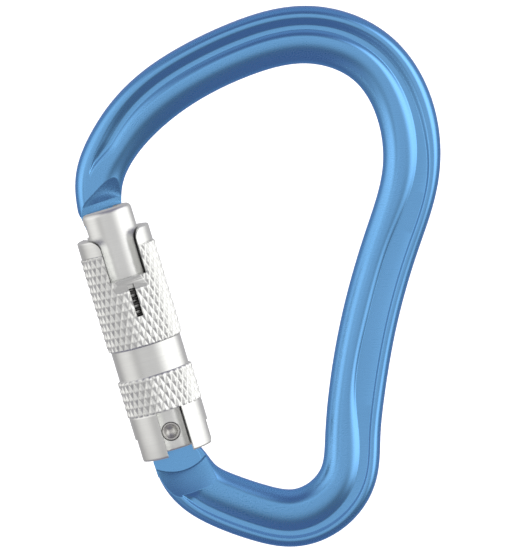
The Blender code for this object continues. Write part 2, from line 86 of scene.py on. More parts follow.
RIM_ROUND, RIM_POWER = 0.9, 0.85  # share of the rim that is rounded, and how full its rounding is
CREST_FLAT, LEAST_RUN = 0.1, 0.15  # level strip on the inner crest, and least run of a wall or floor
# The pocket's walls: shares of the run over which a wall leaves and arrives level, and its mesh steps.
INNER_WALL, OUTER_WALL = (0.8, 0.15, 20), (0.35, 0.5, 12)
# Where the pocket begins and ends, and the lengths over which it spreads to full width and depth.
POCKET_START, START_SPREAD, START_SINK = 8.6, 8.0, 4.0
POCKET_END, END_SPREAD, END_SINK = 6.8, 2.6, 2.6
START_SHARE = 0.12  # share of the spread that the pocket has where it begins
# Shading of the body: its sharpest smooth edge in degrees; all edges stay sharp round the nose's facets,
# which are the faces over an area (square mm) and above a height.
BODY_SMOOTH, FACET_AREA, FACET_ABOVE = 26, 4.0, -50.0

# The gate barrel, the nose and the tang, in the gate's frame.
GATE_RADIUS, GATE_BOTTOM, GATE_TOP, GATE_CROWN, GATE_EDGE = 5.4, -4.0, 48.4, 1.2, 0.5
WAIST_RADIUS, WAIST_BOTTOM, WAIST_TOP = 4.5, 13.2, 31.0
FORK_SLOT, FORK_TOP = 4.6, 5.3
PLUNGER_BORE, PLUNGER_BORE_TOP = 1.8, 28.0
KEY_FLOOR, KEY_CEILING, KEY_INNER, KEY_WIDTH, KEY_NECK = 43.5, 46.25, 2.7, 4.6, 3.0
NOSE_END, BAND_HEIGHT, FACET_SLOPE = 48.7, 1.5, 0.72
# Half thickness on the gate's axis, and its fall towards the eye, at the nose's end and above its flat band.
NOSE_BAND, NOSE_STEP = (2.9, 0.2), (2.6, 0.4)
HOOK_BOTTOM, HOOK_SHOULDER, HOOK_INNER, HOOK_OUTER = 44.1, 45.9, 2.0, -4.9
HOOK_WIDTH, HOOK_NECK, NECK_OUTER, NECK_FOOT, NECK_FOOT_HEIGHT = 3.8, 2.3, -5.45, -5.0, 45.6
NOSE_SLANT = ((-5.4, 48.2), (-6.2, 52.6), (-9.0, 52.6), (-9.0, 48.2))  # what the outer corner loses
TANG, TANG_EYE, TANG_FLAT = 4.0, 4.6, 3.4
# How far the flats of the tang reach, as (radius about the rivet, half thickness) pairs.
CHEEK = ((8.9, 1.96), (9.05, 2.13), (9.3, 2.3), (9.7, 2.52), (10.5, 2.9), (12.0, 3.66), (13.4, 4.46),
         (14.5, 5.2), (18.0, 7.6))
TANG_OUTLINE = ((-5.5, -9.0), (4.4, -9.0), (4.2, -6.4), (3.7, -4.9), (3.7, -4.3), (4.3, -1.4), (-4.3, -1.4),
                (-5.1, -5.0), (-5.6, -5.6))
RIVET_SHAFT, RIVET_HEAD, RIVET_REACH, HEAD_DEPTH = 1.5, 1.9, 5.3, 1.1
DISH_RADIUS, DISH_DEPTH, DISH_EDGE = 1.46, 0.8, 0.06  # the hollow in a rivet head, and its edge's setback
DISH_SHARES = (0.01, 0.15, 0.3, 0.45, 0.6, 0.75, 0.87, 0.95, 1.0)  # of its radius, where the mesh has rings
PIN_RADIUS, PIN_HEIGHT, PIN_INNER = 1.0, 9.4, 3.2

# The sleeve, along the gate's axis.
SLEEVE_TURN = math.radians(7.0)
SLEEVE_BOTTOM, SLEEVE_TOP = -5.0, 43.1
SLEEVE_BORE, CHAMBER_BORE, CHAMBER_BOTTOM, CHAMBER_TOP = 5.7, 6.7, 13.5, 31.3
RING_BOTTOM, RING_TOP, GRIP_BOTTOM, GRIP_TOP = 4.7, 12.6, 18.9, 39.4
GRIP_RADIUS, SKIRT_RADIUS, WAIST_OUTER, EAR_RADIUS = 8.1, 7.9, 7.55, 7.8
WINDOW_WIDTH, WINDOW_FLOOR, WINDOW_CORNER = 7.9, 33.6, 2.4
LAND_BOTTOM, LAND_DEPTHS = 31.05, (6.95, 7.6)  # the leaning flat under the window: foot, ends off the axis
SLOT_WIDTH, SLOT_BOTTOM, SLOT_TOP = 1.35, 25.3, 32.2
NOTCH_WIDTH, SIDE_NOTCH_WIDTH, SIDE_NOTCH_TOP = 5.6, 5.2, -0.1
CAM_RADIUS, CAM_BOTTOM, CAM_TOP = 7.15, 5.7, 10.7
CAM_START, CAM_SWEEP = math.radians(-7.0), math.radians(111.0)

# The knurl: raised diamonds between two crossing families of grooves.
KNURL_STARTS, KNURL_PITCH, KNURL_DEPTH = 33, 3.41, 0.34
KNURL_STEEPNESS = 1.25  # of the flanks; over 1, the diamonds keep flat tops
STEPS_AROUND, STEPS_ALONG = 16, 24  # mesh steps across one diamond

SLEEVE_SPRING = {"radius": 5.85, "wire": 0.35, "bottom": 15.08, "top": 29.62, "turns": 12.5}
GATE_SPRING = {"radius": 1.25, "wire": 0.2, "bottom": 12.42, "top": 27.78, "turns": 15.5}

# The soft lights round the object: azimuth (0 in front, 90 to the right) and elevation in degrees, the
# angles from there at which the light is full and has faded out, and its colour. The last two only tint
# what comes from straight above and below a little bluer.
SOFT_LIGHTS = (
    (0, 2, 6, 46, (0.46, 0.46, 0.46)),
    (76, 18, 15, 58, (1.3, 1.3, 1.28)),
    (-85, 12, 10, 52, (0.72, 0.715, 0.70)),
    (-46, -10, 5, 38, (0.22, 0.22, 0.215)),
    (-84, -30, 10, 50, (0.22, 0.218, 0.212)),
    (-34, 26, 5, 34, (0.28, 0.28, 0.28)),
    (180, 10, 20, 80, (0.28, 0.28, 0.29)),
    (0, 88, 12, 62, (0.0, -0.01, 0.08)),
    (0, -88, 12, 62, (0.0, -0.01, 0.08)),
)
DIM = (0.235, 0.229, 0.232)  # the surrounding between them
SUN_STRENGTH, SUN_SPREAD = 3.2, math.radians(80)
FLOOR_HALF, FLOOR_DROP = 60.0, 0.06

# The camera: its angle above level, its distance, what it looks at and the height of the picture there.
CAMERA_RAISED, CAMERA_DISTANCE = math.radians(5.5), 1.4
CAMERA_AIM, PICTURE_HEIGHT = Vector((-0.01113, 0, -0.0448)), 0.1161
SENSOR_WIDTH = 36  # in millimetres, as Blender counts it

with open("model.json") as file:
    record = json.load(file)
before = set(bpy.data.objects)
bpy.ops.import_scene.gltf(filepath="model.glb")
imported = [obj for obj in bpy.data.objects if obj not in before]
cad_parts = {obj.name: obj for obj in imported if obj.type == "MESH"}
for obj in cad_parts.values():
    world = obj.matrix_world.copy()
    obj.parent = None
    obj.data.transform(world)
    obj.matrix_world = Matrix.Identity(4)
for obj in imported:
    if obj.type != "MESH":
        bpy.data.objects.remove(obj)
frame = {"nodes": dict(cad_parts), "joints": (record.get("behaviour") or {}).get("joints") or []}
CAD_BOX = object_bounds()
JOINTS = {joint["name"]: joint for joint in frame["joints"]}
HINGE = Vector(JOINTS["gate_swing"]["pos_m"])
GATE_AXIS = Vector(JOINTS["sleeve_lift"]["axis"])
GATE_TURN = math.atan2(GATE_AXIS.x, GATE_AXIS.z)
GATE_FRAME = Matrix.Translation(HINGE) @ Matrix.Rotation(GATE_TURN, 4, "Y") @ Matrix.Scale(MM, 4)
WORLD_FRAME = Matrix.Scale(MM, 4)


# ---------------------------------------------------------------- meshes

def mesh_object(name, points, faces, placed):
    """An object whose points, in millimetres, are put in place by a matrix; its faces turn outwards."""
    mesh = bpy.data.meshes.new(name)
    mesh.from_pydata([tuple(p) for p in points], [], faces)
    mesh.transform(placed)
    shape = bmesh.new()
    shape.from_mesh(mesh)
    bmesh.ops.recalc_face_normals(shape, faces=shape.faces)
    shape.to_mesh(mesh)
    shape.free()
    item = bpy.data.objects.new(name, mesh)
    bpy.context.scene.collection.objects.link(item)
    return item


def skin(count, size, closed):
    """Faces that join equal loops of points, with caps at the ends unless the loops close up."""
    faces = []
    for i in range(count if closed else count - 1):
        j = (i + 1) % count
        for a in range(size):
            b = (a + 1) % size
            faces.append((i * size + a, i * size + b, j * size + b, j * size + a))
    if not closed:
        faces.append(tuple(range(size)))
        faces.append(tuple(range((count - 1) * size, count * size)))
    return faces


def lofted(name, loops, placed, closed=False):
    points = [p for loop in loops for p in loop]
    return mesh_object(name, points, skin(len(loops), len(loops[0]), closed), placed)


def turned(name, profile, placed, segments, axis="Z"):
    """A solid whose outline runs along its axis as (radius, height) pairs."""
    angles = [math.tau * i / segments for i in range(segments)]
    if axis == "Z":
        loops = [[(r * math.cos(a), r * math.sin(a), h) for a in angles] for r, h in profile]
    else:
        loops = [[(r * math.cos(a), h, r * math.sin(a)) for a in angles] for r, h in profile]
    return lofted(name, loops, placed)


def cross_drill(name, radius, low, high, height, segments=48):
    """A cylinder between two depths along the rivet's axis, at a height on the gate."""
    angles = [math.tau * (i + 0.5) / segments for i in range(segments)]
    loops = [[(radius * math.cos(a), y, height + radius * math.sin(a)) for a in angles] for y in (low, high)]
    return lofted(name, loops, GATE_FRAME)


def prism(name, outline, low, high, turn=0.0):
    """An outline of (x, z) pairs in the gate's frame, extruded along Y and turned about the gate."""
    spin = Matrix.Rotation(turn, 3, "Z")
    loops = [[spin @ Vector((x, y, z)) for x, z in outline] for y in (low, high)]
    return lofted(name, loops, GATE_FRAME)


def block(name, x, y, z, turn=0.0):
    outline = ((x[0], z[0]), (x[1], z[0]), (x[1], z[1]), (x[0], z[1]))
    return prism(name, outline, y[0], y[1], turn)


def carve(target, steps):
    """Applies cuts and joins, given as (operation, other object), and removes the other objects."""
    for operation, other in steps:
        step = target.modifiers.new(other.name, "BOOLEAN")
        step.operation = operation
        step.object = other
        step.solver = "MANIFOLD"
        graph = bpy.context.evaluated_depsgraph_get()
        made = bpy.data.meshes.new_from_object(target.evaluated_get(graph))
        target.modifiers.clear()
        old, target.data = target.data, made
        bpy.data.meshes.remove(old)
        bpy.data.objects.remove(other)
    return target


def smooth(item, angle=32):
    item.data.shade_smooth()
    item.data.set_sharp_from_angle(angle=math.radians(angle))
    return item


def crisp(item, area, above):
    """Sharp edges round the faces larger than an area (square mm) that lie above a height (mm)."""
    shape = bmesh.new()
    shape.from_mesh(item.data)
    for face in shape.faces:
        if face.calc_area() > area * MM**2 and face.calc_center_median().z > above * MM:
            for edge in face.edges:
                edge.smooth = False
    shape.to_mesh(item.data)
    shape.free()
    return item


def rounded(corners, steps=5):
    """Points along a line of (x, y, reach) corners, each eased over its reach on both sides."""
    points = [corners[0][:2]]
    for before, here, after in zip(corners, corners[1:], corners[2:]):
        spot, reach = Vector(here[:2]), here[2]
        back, ahead = Vector(before[:2]) - spot, Vector(after[:2]) - spot
        start = spot + back * min(reach / max(back.length, 1e-6), 0.48)
        end = spot + ahead * min(reach / max(ahead.length, 1e-6), 0.48)
        for i in range(steps):
            t = i / (steps - 1)
            points.append(tuple(start * (1 - t) ** 2 + spot * 2 * t * (1 - t) + end * t * t))
    return points + [corners[-1][:2]]


# ---------------------------------------------------------------- the forged body

def spline(knots, values):
    """A natural cubic spline through rows of values, as a function of the knot parameter."""
    steps = np.diff(knots)
    system = np.eye(len(knots))
    bends = np.zeros_like(values)
    for i in range(1, len(knots) - 1):
        before, after = steps[i - 1], steps[i]
        system[i, i - 1 : i + 2] = before, 2 * (before + after), after
        rise = (values[i + 1] - values[i]) / after - (values[i] - values[i - 1]) / before
        bends[i] = 6 * rise
    bends = np.linalg.solve(system, bends)

    def at(place):
        i = min(int(np.searchsorted(knots, place, side="right")) - 1, len(steps) - 1)
        h, left, right = steps[i], knots[i + 1] - place, place - knots[i]
        curve = (bends[i] * left**3 + bends[i + 1] * right**3) / (6 * h)
        line = (values[i] / h - bends[i] * h / 6) * left
        return curve + line + (values[i + 1] / h - bends[i + 1] * h / 6) * right

    return at


def ease(share):
    """A smooth step from 0 to 1."""
    share = min(max(share, 0.0), 1.0)
    return share * share * (3 - 2 * share)


def wave(start, end, lead, trail, steps):
    """Points between two levels that leave and arrive level, by a share of the run at each end."""
    run = end[0] - start[0]
    handles = (start, (start[0] + run * lead, start[1]), (end[0] - run * trail, end[1]), end)
    points = []
    for i in range(steps + 1):
        t = i / steps
        weights = ((1 - t) ** 3, 3 * t * (1 - t) ** 2, 3 * t * t * (1 - t), t**3)
        points.append(tuple(sum(w * p[k] for w, p in zip(weights, handles)) for k in (0, 1)))
    return points


def bow_section(width, thickness, floor, inner_wall, outer_wall, rim, spread, sunk):
    """Half of the section, from the inside of the bow to its outside, as (across, height) pairs."""
    half, top = width / 2, thickness / 2
    bed = top - (top - WEB / 2) * sunk
    inner, outer = width - rim - outer_wall - floor - inner_wall - CREST_FLAT, rim * RIM_ROUND
    runs = (floor, inner_wall, outer_wall)
    floor, inner_wall, outer_wall = (LEAST_RUN + (run - LEAST_RUN) * spread for run in runs)
    foot = half - rim - outer_wall
    crest = foot - floor - inner_wall
    points, inner_steps, outer_steps = [], 24, 20
    for i in range(inner_steps + 1):
        angle = math.radians(90 * i / inner_steps)
        points.append((-half + inner * (1 - math.cos(angle)), top * math.sin(angle)))
    points += wave((crest, top), (foot - floor, bed), *INNER_WALL)
    points += wave((foot, bed), (half - rim, top), *OUTER_WALL)
    for i in range(outer_steps + 1):
        angle = math.radians(90 - 90 * i / outer_steps)
        across, height = (max(value, 0.0) ** RIM_POWER for value in (math.cos(angle), math.sin(angle)))
        points.append((half - outer * (1 - across), top * height))
    return points


def bow_loops():
    """The section's loop at every station along the bow."""
    table = np.array(BOW)
    knots = np.concatenate([[0], np.cumsum(np.hypot(*np.diff(table[:, :2], axis=0).T))])
    at = spline(knots, table)
    length, nudge = knots[-1], 0.01
    loops = []
    for place in np.linspace(0, length, STATIONS):
        x, z, *shape = at(place)
        ahead = at(min(place + nudge, length)) - at(max(place - nudge, 0))
        along = Vector((ahead[0], 0, ahead[1])).normalized()
        outward = Vector((-along.z, 0, along.x))
        after, before = place - POCKET_START, length - POCKET_END - place
        grown = START_SHARE + (1 - START_SHARE) * after / START_SPREAD
        spread = min(ease(grown), ease(before / END_SPREAD))
        sunk = min(ease(after / START_SINK), ease(before / END_SINK))
        half = bow_section(*shape, spread, sunk)
        centre = Vector((x, 0, z))
        front = [centre + outward * u + Vector((0, -v, 0)) for u, v in half]
        back = [centre + outward * u + Vector((0, v, 0)) for u, v in reversed(half[1:])]
        loops.append(front + back)
    return loops


def nose_facet(name, side):
    """What a leaning flat band and, above it, a slanting facet take off one face of the nose."""
    reach, rise, beyond = 8.0, 8.0, 14.0
    step = NOSE_END + BAND_HEIGHT
    levels = ((NOSE_END - 1, NOSE_BAND, 0), (step, NOSE_STEP, 0),
              (step + rise, NOSE_STEP, rise * FACET_SLOPE))
    near = []
    for height, (middle, fall), lift in levels:
        near += [(x, side * (middle - fall * x + lift), height) for x in (-reach, reach)]
    far = [(x, side * beyond, z) for x, _, z in near]
    faces = [(0, 1, 3, 2), (2, 3, 5, 4), (6, 8, 9, 7), (8, 10, 11, 9)]
    faces += [(0, 2, 8, 6), (2, 4, 10, 8), (1, 7, 9, 3), (3, 9, 11, 5), (0, 6, 7, 1), (4, 5, 11, 10)]
    return mesh_object(name, near + far, faces, GATE_FRAME)


def tang_eye():
    """The round end of the tang, with the flat that the plunger rests on."""
    reach = math.acos(TANG_FLAT / TANG_EYE)
    first, last, steps = math.pi / 2 + reach, math.pi / 2 - reach + math.tau, 64
    turn = [first + (last - first) * i / (steps - 1) for i in range(steps)]
    outline = [(TANG_EYE * math.cos(a), TANG_EYE * math.sin(a)) for a in turn]
    inset = 0.01  # keeps its faces off those of the plate it joins
    return prism("tang_eye", outline, -TANG / 2 + inset, TANG / 2 - inset)


def forged_body():
    """The body with its nose facets, the hook that the gate closes over and the tang it turns on."""
    item = lofted("forged_body", bow_loops(), WORLD_FRAME)
    far, wide, play = 16.0, 14, 0.15
    steps = []
    for side, name in ((-1, "front"), (1, "back")):
        cheek = turned(f"cheek_{name}", [(r, side * y) for r, y in CHEEK], GATE_FRAME, 192, axis="Y")
        steps += [("DIFFERENCE", cheek), ("DIFFERENCE", nose_facet(f"facet_{name}", side))]
    path = [(x, math.sqrt(NOSE_END**2 - x * x)) for x in range(-wide, wide + 1)]  # clears the swinging gate
    below = NOSE_END - far
    steps.append(("DIFFERENCE", prism("nose_end", [*path, (wide, below), (-wide, below)], -far, far)))
    steps.append(("DIFFERENCE", prism("nose_slant", NOSE_SLANT, -far, far)))
    steps.append(("UNION", prism("tang_plate", TANG_OUTLINE, -TANG / 2, TANG / 2)))
    steps.append(("UNION", tang_eye()))
    steps.append(("DIFFERENCE", cross_drill("rivet_bore", RIVET_SHAFT + play, -far, far, 0)))
    half = HOOK_WIDTH / 2
    head = ((HOOK_OUTER, HOOK_INNER), (-half, half), (HOOK_BOTTOM, HOOK_SHOULDER))
    steps.append(("UNION", block("hook_head", *head)))
    half, overlap = HOOK_NECK / 2, 0.6
    low, high, inner = HOOK_SHOULDER - overlap, NOSE_END + overlap, HOOK_INNER - overlap / 2
    neck = ((NECK_FOOT, low), (inner, low), (inner, high), (NECK_OUTER + 0.2, high), (NECK_OUTER, NOSE_END),
            (NECK_FOOT, NECK_FOOT_HEIGHT))
    steps.append(("UNION", prism("hook_neck", neck, -half, half)))
    return crisp(smooth(carve(item, steps), BODY_SMOOTH), FACET_AREA, FACET_ABOVE)


# ---------------------------------------------------------------- the gate and its pins

def turned_gate():
    """The gate barrel, with its fork, waist, bores and key slot."""
    crown = rounded(((GATE_RADIUS, WAIST_TOP + 2), (GATE_RADIUS, GATE_TOP, GATE_CROWN), (2.0, GATE_TOP)), 9)
    foot = rounded(((3.0, GATE_BOTTOM), (GATE_RADIUS, GATE_BOTTOM, GATE_EDGE), (GATE_RADIUS, 0.0)), 7)
    waist = ((GATE_RADIUS, WAIST_BOTTOM), (WAIST_RADIUS, WAIST_BOTTOM), (WAIST_RADIUS, WAIST_TOP),
             (GATE_RADIUS - 0.2, WAIST_TOP), (GATE_RADIUS, WAIST_TOP + 0.2))
    item = turned("turned_gate", [*foot, *waist, *crown], GATE_FRAME, 144)
    far, half, neck, play = 12.0, KEY_WIDTH / 2, KEY_NECK / 2, 0.1
    slot = (-FORK_SLOT / 2, FORK_SLOT / 2)
    bore = ((PLUNGER_BORE, FORK_TOP - 1), (PLUNGER_BORE, PLUNGER_BORE_TOP))
    key = ((-far, KEY_INNER), (-half, half), (KEY_FLOOR, KEY_CEILING))
    throat = ((-far, KEY_INNER), (-neck, neck), (KEY_CEILING - 1, GATE_TOP + 1))
    steps = [
        ("DIFFERENCE", block("fork_slot", (-far, far), slot, (GATE_BOTTOM - 1, FORK_TOP))),
        ("DIFFERENCE", turned("plunger_bore", bore, GATE_FRAME, 40)),
        ("DIFFERENCE", block("key_slot", *key)),
        ("DIFFERENCE", block("key_neck", *throat)),
        ("DIFFERENCE", cross_drill("gate_bore", RIVET_SHAFT + play, -far, far, 0)),
        ("DIFFERENCE", cross_drill("pin_hole", PIN_RADIUS + play / 2, PIN_INNER - play, far, PIN_HEIGHT)),
    ]
    seat = RIVET_REACH - HEAD_DEPTH - play
    for side, name in ((-1, "front"), (1, "back")):
        head_seat = cross_drill(f"seat_{name}", RIVET_HEAD + play, side * seat, side * far, 0)
        steps.append(("DIFFERENCE", head_seat))
    return smooth(carve(item, steps))


def peened_rivet():
    """The hinge rivet, with a dished and rounded head at each end."""
    face = RIVET_REACH
    dish = [(DISH_RADIUS * t, face - DISH_EDGE - DISH_DEPTH * (1 - t * t)) for t in DISH_SHARES]
    half = [
        *dish, (1.54, face - 0.01), (1.64, face), (1.78, face - 0.03), (1.87, face - 0.12),
        (RIVET_HEAD, face - 0.26), (RIVET_HEAD, face - HEAD_DEPTH), (RIVET_SHAFT, face - HEAD_DEPTH),
    ]
    profile = [(r, -y) for r, y in half] + [(r, y) for r, y in reversed(half)]
    return smooth(turned("peened_rivet", profile, GATE_FRAME, 96, axis="Y"))


def wound_spring(name, spring, sides=12, steps=36):
    """A compression spring whose end turns close up and lie flat."""
    wire, turns = spring["wire"], spring["turns"]
    closed, pitch = 1.0, 2 * wire + 0.02
    rise = spring["top"] - spring["bottom"]
    path = []
    for i in range(int(turns * steps) + 1):
        turn = i / steps
        low = spring["bottom"] + pitch * min(turn, closed)
        share = min(max((turn - closed) / (turns - 2 * closed), 0.0), 1.0)
        height = low + (rise - 2 * pitch * closed) * share + pitch * max(turn - (turns - closed), 0.0)
        angle = math.tau * turn
        path.append(Vector((spring["radius"] * math.cos(angle), spring["radius"] * math.sin(angle), height)))
    loops = []
    for i, centre in enumerate(path):
        along = (path[min(i + 1, len(path) - 1)] - path[max(i - 1, 0)]).normalized()
        outward = Vector((centre.x, centre.y, 0)).normalized()
        upward = along.cross(outward)
        turn = [math.tau * k / sides for k in range(sides)]
        loops.append([centre + (outward * math.cos(a) + upward * math.sin(a)) * wire for a in turn])
    return smooth(lofted(name, loops, GATE_FRAME), 50)


# ---------------------------------------------------------------- the sleeve

def zigzag(value):
    """0 on whole numbers and 1 halfway between them."""
    return 1 - np.abs(2 * (value - np.floor(value)) - 1)


def knurled_rows(low, high):
    """Heights of the rows of a knurled band, between the two plain rows at its ends."""
    step = KNURL_PITCH / STEPS_ALONG
    count = int(round((high - low) / step))
    return [low + (high - low) * i / count for i in range(count + 1)]


def knurled_sleeve():
    """The sleeve: two knurled bands, the window with its ears, the spring slot and the notches."""
    columns = KNURL_STARTS * STEPS_AROUND
    skirt = ((SLEEVE_BORE + 0.6, SLEEVE_BOTTOM), (SKIRT_RADIUS, SLEEVE_BOTTOM, 0.6), (SKIRT_RADIUS, 0.0))
    ears = ((EAR_RADIUS, SLEEVE_TOP - 1.5), (EAR_RADIUS, SLEEVE_TOP, 0.45), (SLEEVE_BORE + 0.4, SLEEVE_TOP))
    ring_foot = ((SKIRT_RADIUS, RING_BOTTOM - 0.4), (SKIRT_RADIUS, RING_BOTTOM - 0.25),
                 (SKIRT_RADIUS - 0.12, RING_BOTTOM - 0.05))
    ring = [(GRIP_RADIUS, z) for z in knurled_rows(RING_BOTTOM + 0.1, RING_TOP - 0.35)]
    waist = ((WAIST_OUTER + 0.18, RING_TOP - 0.12), (WAIST_OUTER, RING_TOP),
             (WAIST_OUTER, GRIP_BOTTOM), (WAIST_OUTER + 0.18, GRIP_BOTTOM + 0.1))
    grip = [(GRIP_RADIUS, z) for z in knurled_rows(GRIP_BOTTOM + 0.35, GRIP_TOP - 0.1)]
    ear_foot = ((EAR_RADIUS - 0.14, GRIP_TOP + 0.02), (EAR_RADIUS, GRIP_TOP + 0.2),
                (EAR_RADIUS, GRIP_TOP + 0.35))
    bore = ((SLEEVE_BORE, SLEEVE_TOP - 0.3), (SLEEVE_BORE, CHAMBER_TOP), (CHAMBER_BORE, CHAMBER_TOP),
            (CHAMBER_BORE, CHAMBER_BOTTOM), (SLEEVE_BORE, CHAMBER_BOTTOM), (SLEEVE_BORE, SLEEVE_BOTTOM + 0.3))
    # The outline up the outside and down the bore, each part with its share of the knurl.
    parts = ((rounded(skirt, 7), 0), (ring_foot, 0), (ring, 1), (waist, 0), (grip, 1), (ear_foot, 0),
             (rounded(ears, 7), 0), (bore, 0))
    rows = [(r, z, knurled) for part, knurled in parts for r, z in part]
    radius, height, share = np.array(rows).T
    column = np.arange(columns)
    around = column[:, None] / STEPS_AROUND
    along = height[None, :] / KNURL_PITCH
    ridge = np.minimum(zigzag(around + along), zigzag(around - along))
    grooved = KNURL_DEPTH * (1 - np.minimum(KNURL_STEEPNESS * ridge, 1.0))
    radii = radius[None, :] - share[None, :] * grooved
    angle = (math.tau * column / columns)[:, None]
    heights = np.broadcast_to(height, radii.shape)
    points = np.stack([radii * np.cos(angle), radii * np.sin(angle), heights], -1).reshape(-1, 3)
    faces = skin(columns, len(rows), True)
    item = mesh_object("knurled_sleeve", points.tolist(), faces, GATE_FRAME)
    return smooth(carve(item, sleeve_cuts()), 40)


def window_outline():
    """The U-shaped window; its top corners flare into the ears."""
    half, flare = WINDOW_WIDTH / 2, WINDOW_CORNER
    right = [(half, WINDOW_FLOOR)]
    for i in range(13):
        angle = math.radians(90 * i / 12)
        right.append((half + flare * (1 - math.cos(angle)), SLEEVE_TOP - flare * (1 - math.sin(angle))))
    right.append((half + flare, SLEEVE_TOP + 2))
    return right + [(-x, z) for x, z in reversed(right)]


def sector(name, corners, start, sweep, steps):
    """A closed outline of (radius, height) corners, swept about the gate's axis."""
    loops = []
    for i in range(steps + 1):
        angle = start + sweep * i / steps
        loops.append([(r * math.cos(angle), r * math.sin(angle), z) for r, z in corners])
    return lofted(name, loops, GATE_FRAME)


def land_cut(name, side):
    """What a leaning flat takes off the grip under the window, on one side of the sleeve."""
    half, far, above = WINDOW_WIDTH / 2, 18.0, WINDOW_FLOOR + 1
    low, high = LAND_DEPTHS
    outline = ((low, LAND_BOTTOM), (far, LAND_BOTTOM), (far, above), (high, above))
    spin = Matrix.Rotation(SLEEVE_TURN, 3, "Z")
    loops = [[spin @ Vector((x, side * y, z)) for y, z in outline] for x in (-half, half)]
    return lofted(name, loops, GATE_FRAME)


def sleeve_cuts():
    """What is cut from the turned sleeve."""
    far = 18.0
    notch, side = NOTCH_WIDTH / 2, SIDE_NOTCH_WIDTH / 2
    slot, below = SLOT_WIDTH / 2, SLEEVE_BOTTOM - 1
    pocket = ((SLEEVE_BORE - 1, CAM_BOTTOM), (CAM_RADIUS, CAM_BOTTOM), (CAM_RADIUS, CAM_TOP),
              (SLEEVE_BORE - 1, CAM_TOP))
    cuts = [
        prism("window", window_outline(), -far, far, SLEEVE_TURN),
        block("leg_slot", (-slot, slot), (-far, 0), (SLOT_BOTTOM, SLOT_TOP), SLEEVE_TURN),
        block("notch", (-notch, notch), (-far, far), (below, RING_BOTTOM), SLEEVE_TURN),
        block("side_notch", (-far, far), (-side, side), (below, SIDE_NOTCH_TOP)),
        sector("cam_pocket", pocket, CAM_START, CAM_SWEEP, 48),
        land_cut("land_front", -1),
        land_cut("land_back", 1),
    ]
    return [("DIFFERENCE", item) for item in cuts]


# ---------------------------------------------------------------- materials

class Shader:
    """A Principled material with short helpers for its nodes."""

    def __init__(self, name, **constants):
        self.material = bpy.data.materials.new(name)
        self.material.use_nodes = True
        self.tree = self.material.node_tree
        self.surface = self.tree.nodes["Principled BSDF"]
        for socket, value in constants.items():
            self.surface.inputs[socket.replace("_", " ")].default_value = value

    def node(self, kind, **settings):
        made = self.tree.nodes.new(kind)
        for name, value in settings.items():
            setattr(made, name, value)
        return made

    def link(self, source, node, socket):
        self.tree.links.new(source, node.inputs[socket])

    def place(self, stretch=(1, 1, 1), gate=True):
        """Coordinates in metres, in the gate's frame or the body's, stretched along each axis."""
        where = self.node("ShaderNodeTexCoord").outputs["Object"]
        if gate:
            turned_to = self.node("ShaderNodeMapping", vector_type="TEXTURE")
            turned_to.inputs["Location"].default_value = HINGE
            turned_to.inputs["Rotation"].default_value = (0, GATE_TURN, 0)
            self.link(where, turned_to, "Vector")
            where = turned_to.outputs["Vector"]
        scaled = self.node("ShaderNodeMapping")
        scaled.inputs["Scale"].default_value = stretch
        self.link(where, scaled, "Vector")
        return scaled.outputs["Vector"]

    def noise(self, where, scale, detail=2.0, roughness=0.5):
        made = self.node("ShaderNodeTexNoise")
        made.inputs["Scale"].default_value = scale
        made.inputs["Detail"].default_value = detail
        made.inputs["Roughness"].default_value = roughness
        self.link(where, made, "Vector")
        return made.outputs["Fac"]

    def span(self, value, low, high, start=0.3, end=0.7):
        """The value, taken from start..end to low..high."""
        made = self.node("ShaderNodeMapRange")
        for socket, number in (("From Min", start), ("From Max", end), ("To Min", low), ("To Max", high)):
            made.inputs[socket].default_value = number
        self.link(value, made, "Value")
        return made.outputs["Result"]

    def mix(self, share, first, second):
        made = self.node("ShaderNodeMix", data_type="RGBA")
        self.link(share, made, 0)
        for socket, colour in ((6, first), (7, second)):
            if isinstance(colour, tuple):
                made.inputs[socket].default_value = (*colour, 1)
            else:
                self.link(colour, made, socket)
        return made.outputs[2]

    def math(self, operation, first, second):
        made = self.node("ShaderNodeMath", operation=operation)
        for i, value in enumerate((first, second)):
            if isinstance(value, (int, float)):
                made.inputs[i].default_value = value
            else:
                self.link(value, made, i)
        return made.outputs[0]

    def relief(self, height, depth, strength, edge):
        """Bump of a real depth in millimetres, over edges eased to a radius in millimetres."""
        eased = self.node("ShaderNodeBevel", samples=6)
        eased.inputs["Radius"].default_value = edge * MM
        bump = self.node("ShaderNodeBump")
        bump.inputs["Strength"].default_value = strength
        bump.inputs["Distance"].default_value = depth * MM
        self.link(height, bump, "Height")
        self.link(eased.outputs["Normal"], bump, "Normal")
        self.link(bump.outputs["Normal"], self.surface, "Normal")

    def finish(self, colour, roughness):
        self.link(colour, self.surface, "Base Color")
        self.link(roughness, self.surface, "Roughness")
        return self.material


def anodised_blue():
    """Tumbled and dyed aluminium: an even blue with soft clouds, a fine peel and faint handling marks."""
    made = Shader("anodised_blue", Metallic=1.0, Specular_Tint=(0.35, 0.5, 0.85, 1), Coat_Weight=0.22,
                  Coat_Roughness=0.14)
    body = made.place(gate=False)
    clouds = made.noise(body, 55, 3)
    grain = made.noise(body, 6500, 2)
    marks = made.noise(made.place((1, 1, 14), gate=False), 420, 4, 0.6)
    colour = made.mix(made.span(clouds, 0, 1), (0.185, 0.475, 0.87), (0.20, 0.50, 0.91))
    colour = made.mix(made.span(marks, 0, 0.35, 0.66, 0.8), colour, (0.23, 0.52, 0.92))
    roughness = made.math("ADD", made.span(grain, 0.24, 0.29), made.span(marks, 0, 0.08, 0.6, 0.8))
    made.relief(made.math("ADD", grain, made.math("MULTIPLY", marks, 0.6)), 0.0025, 0.05, 0.2)
    return made.finish(colour, roughness)


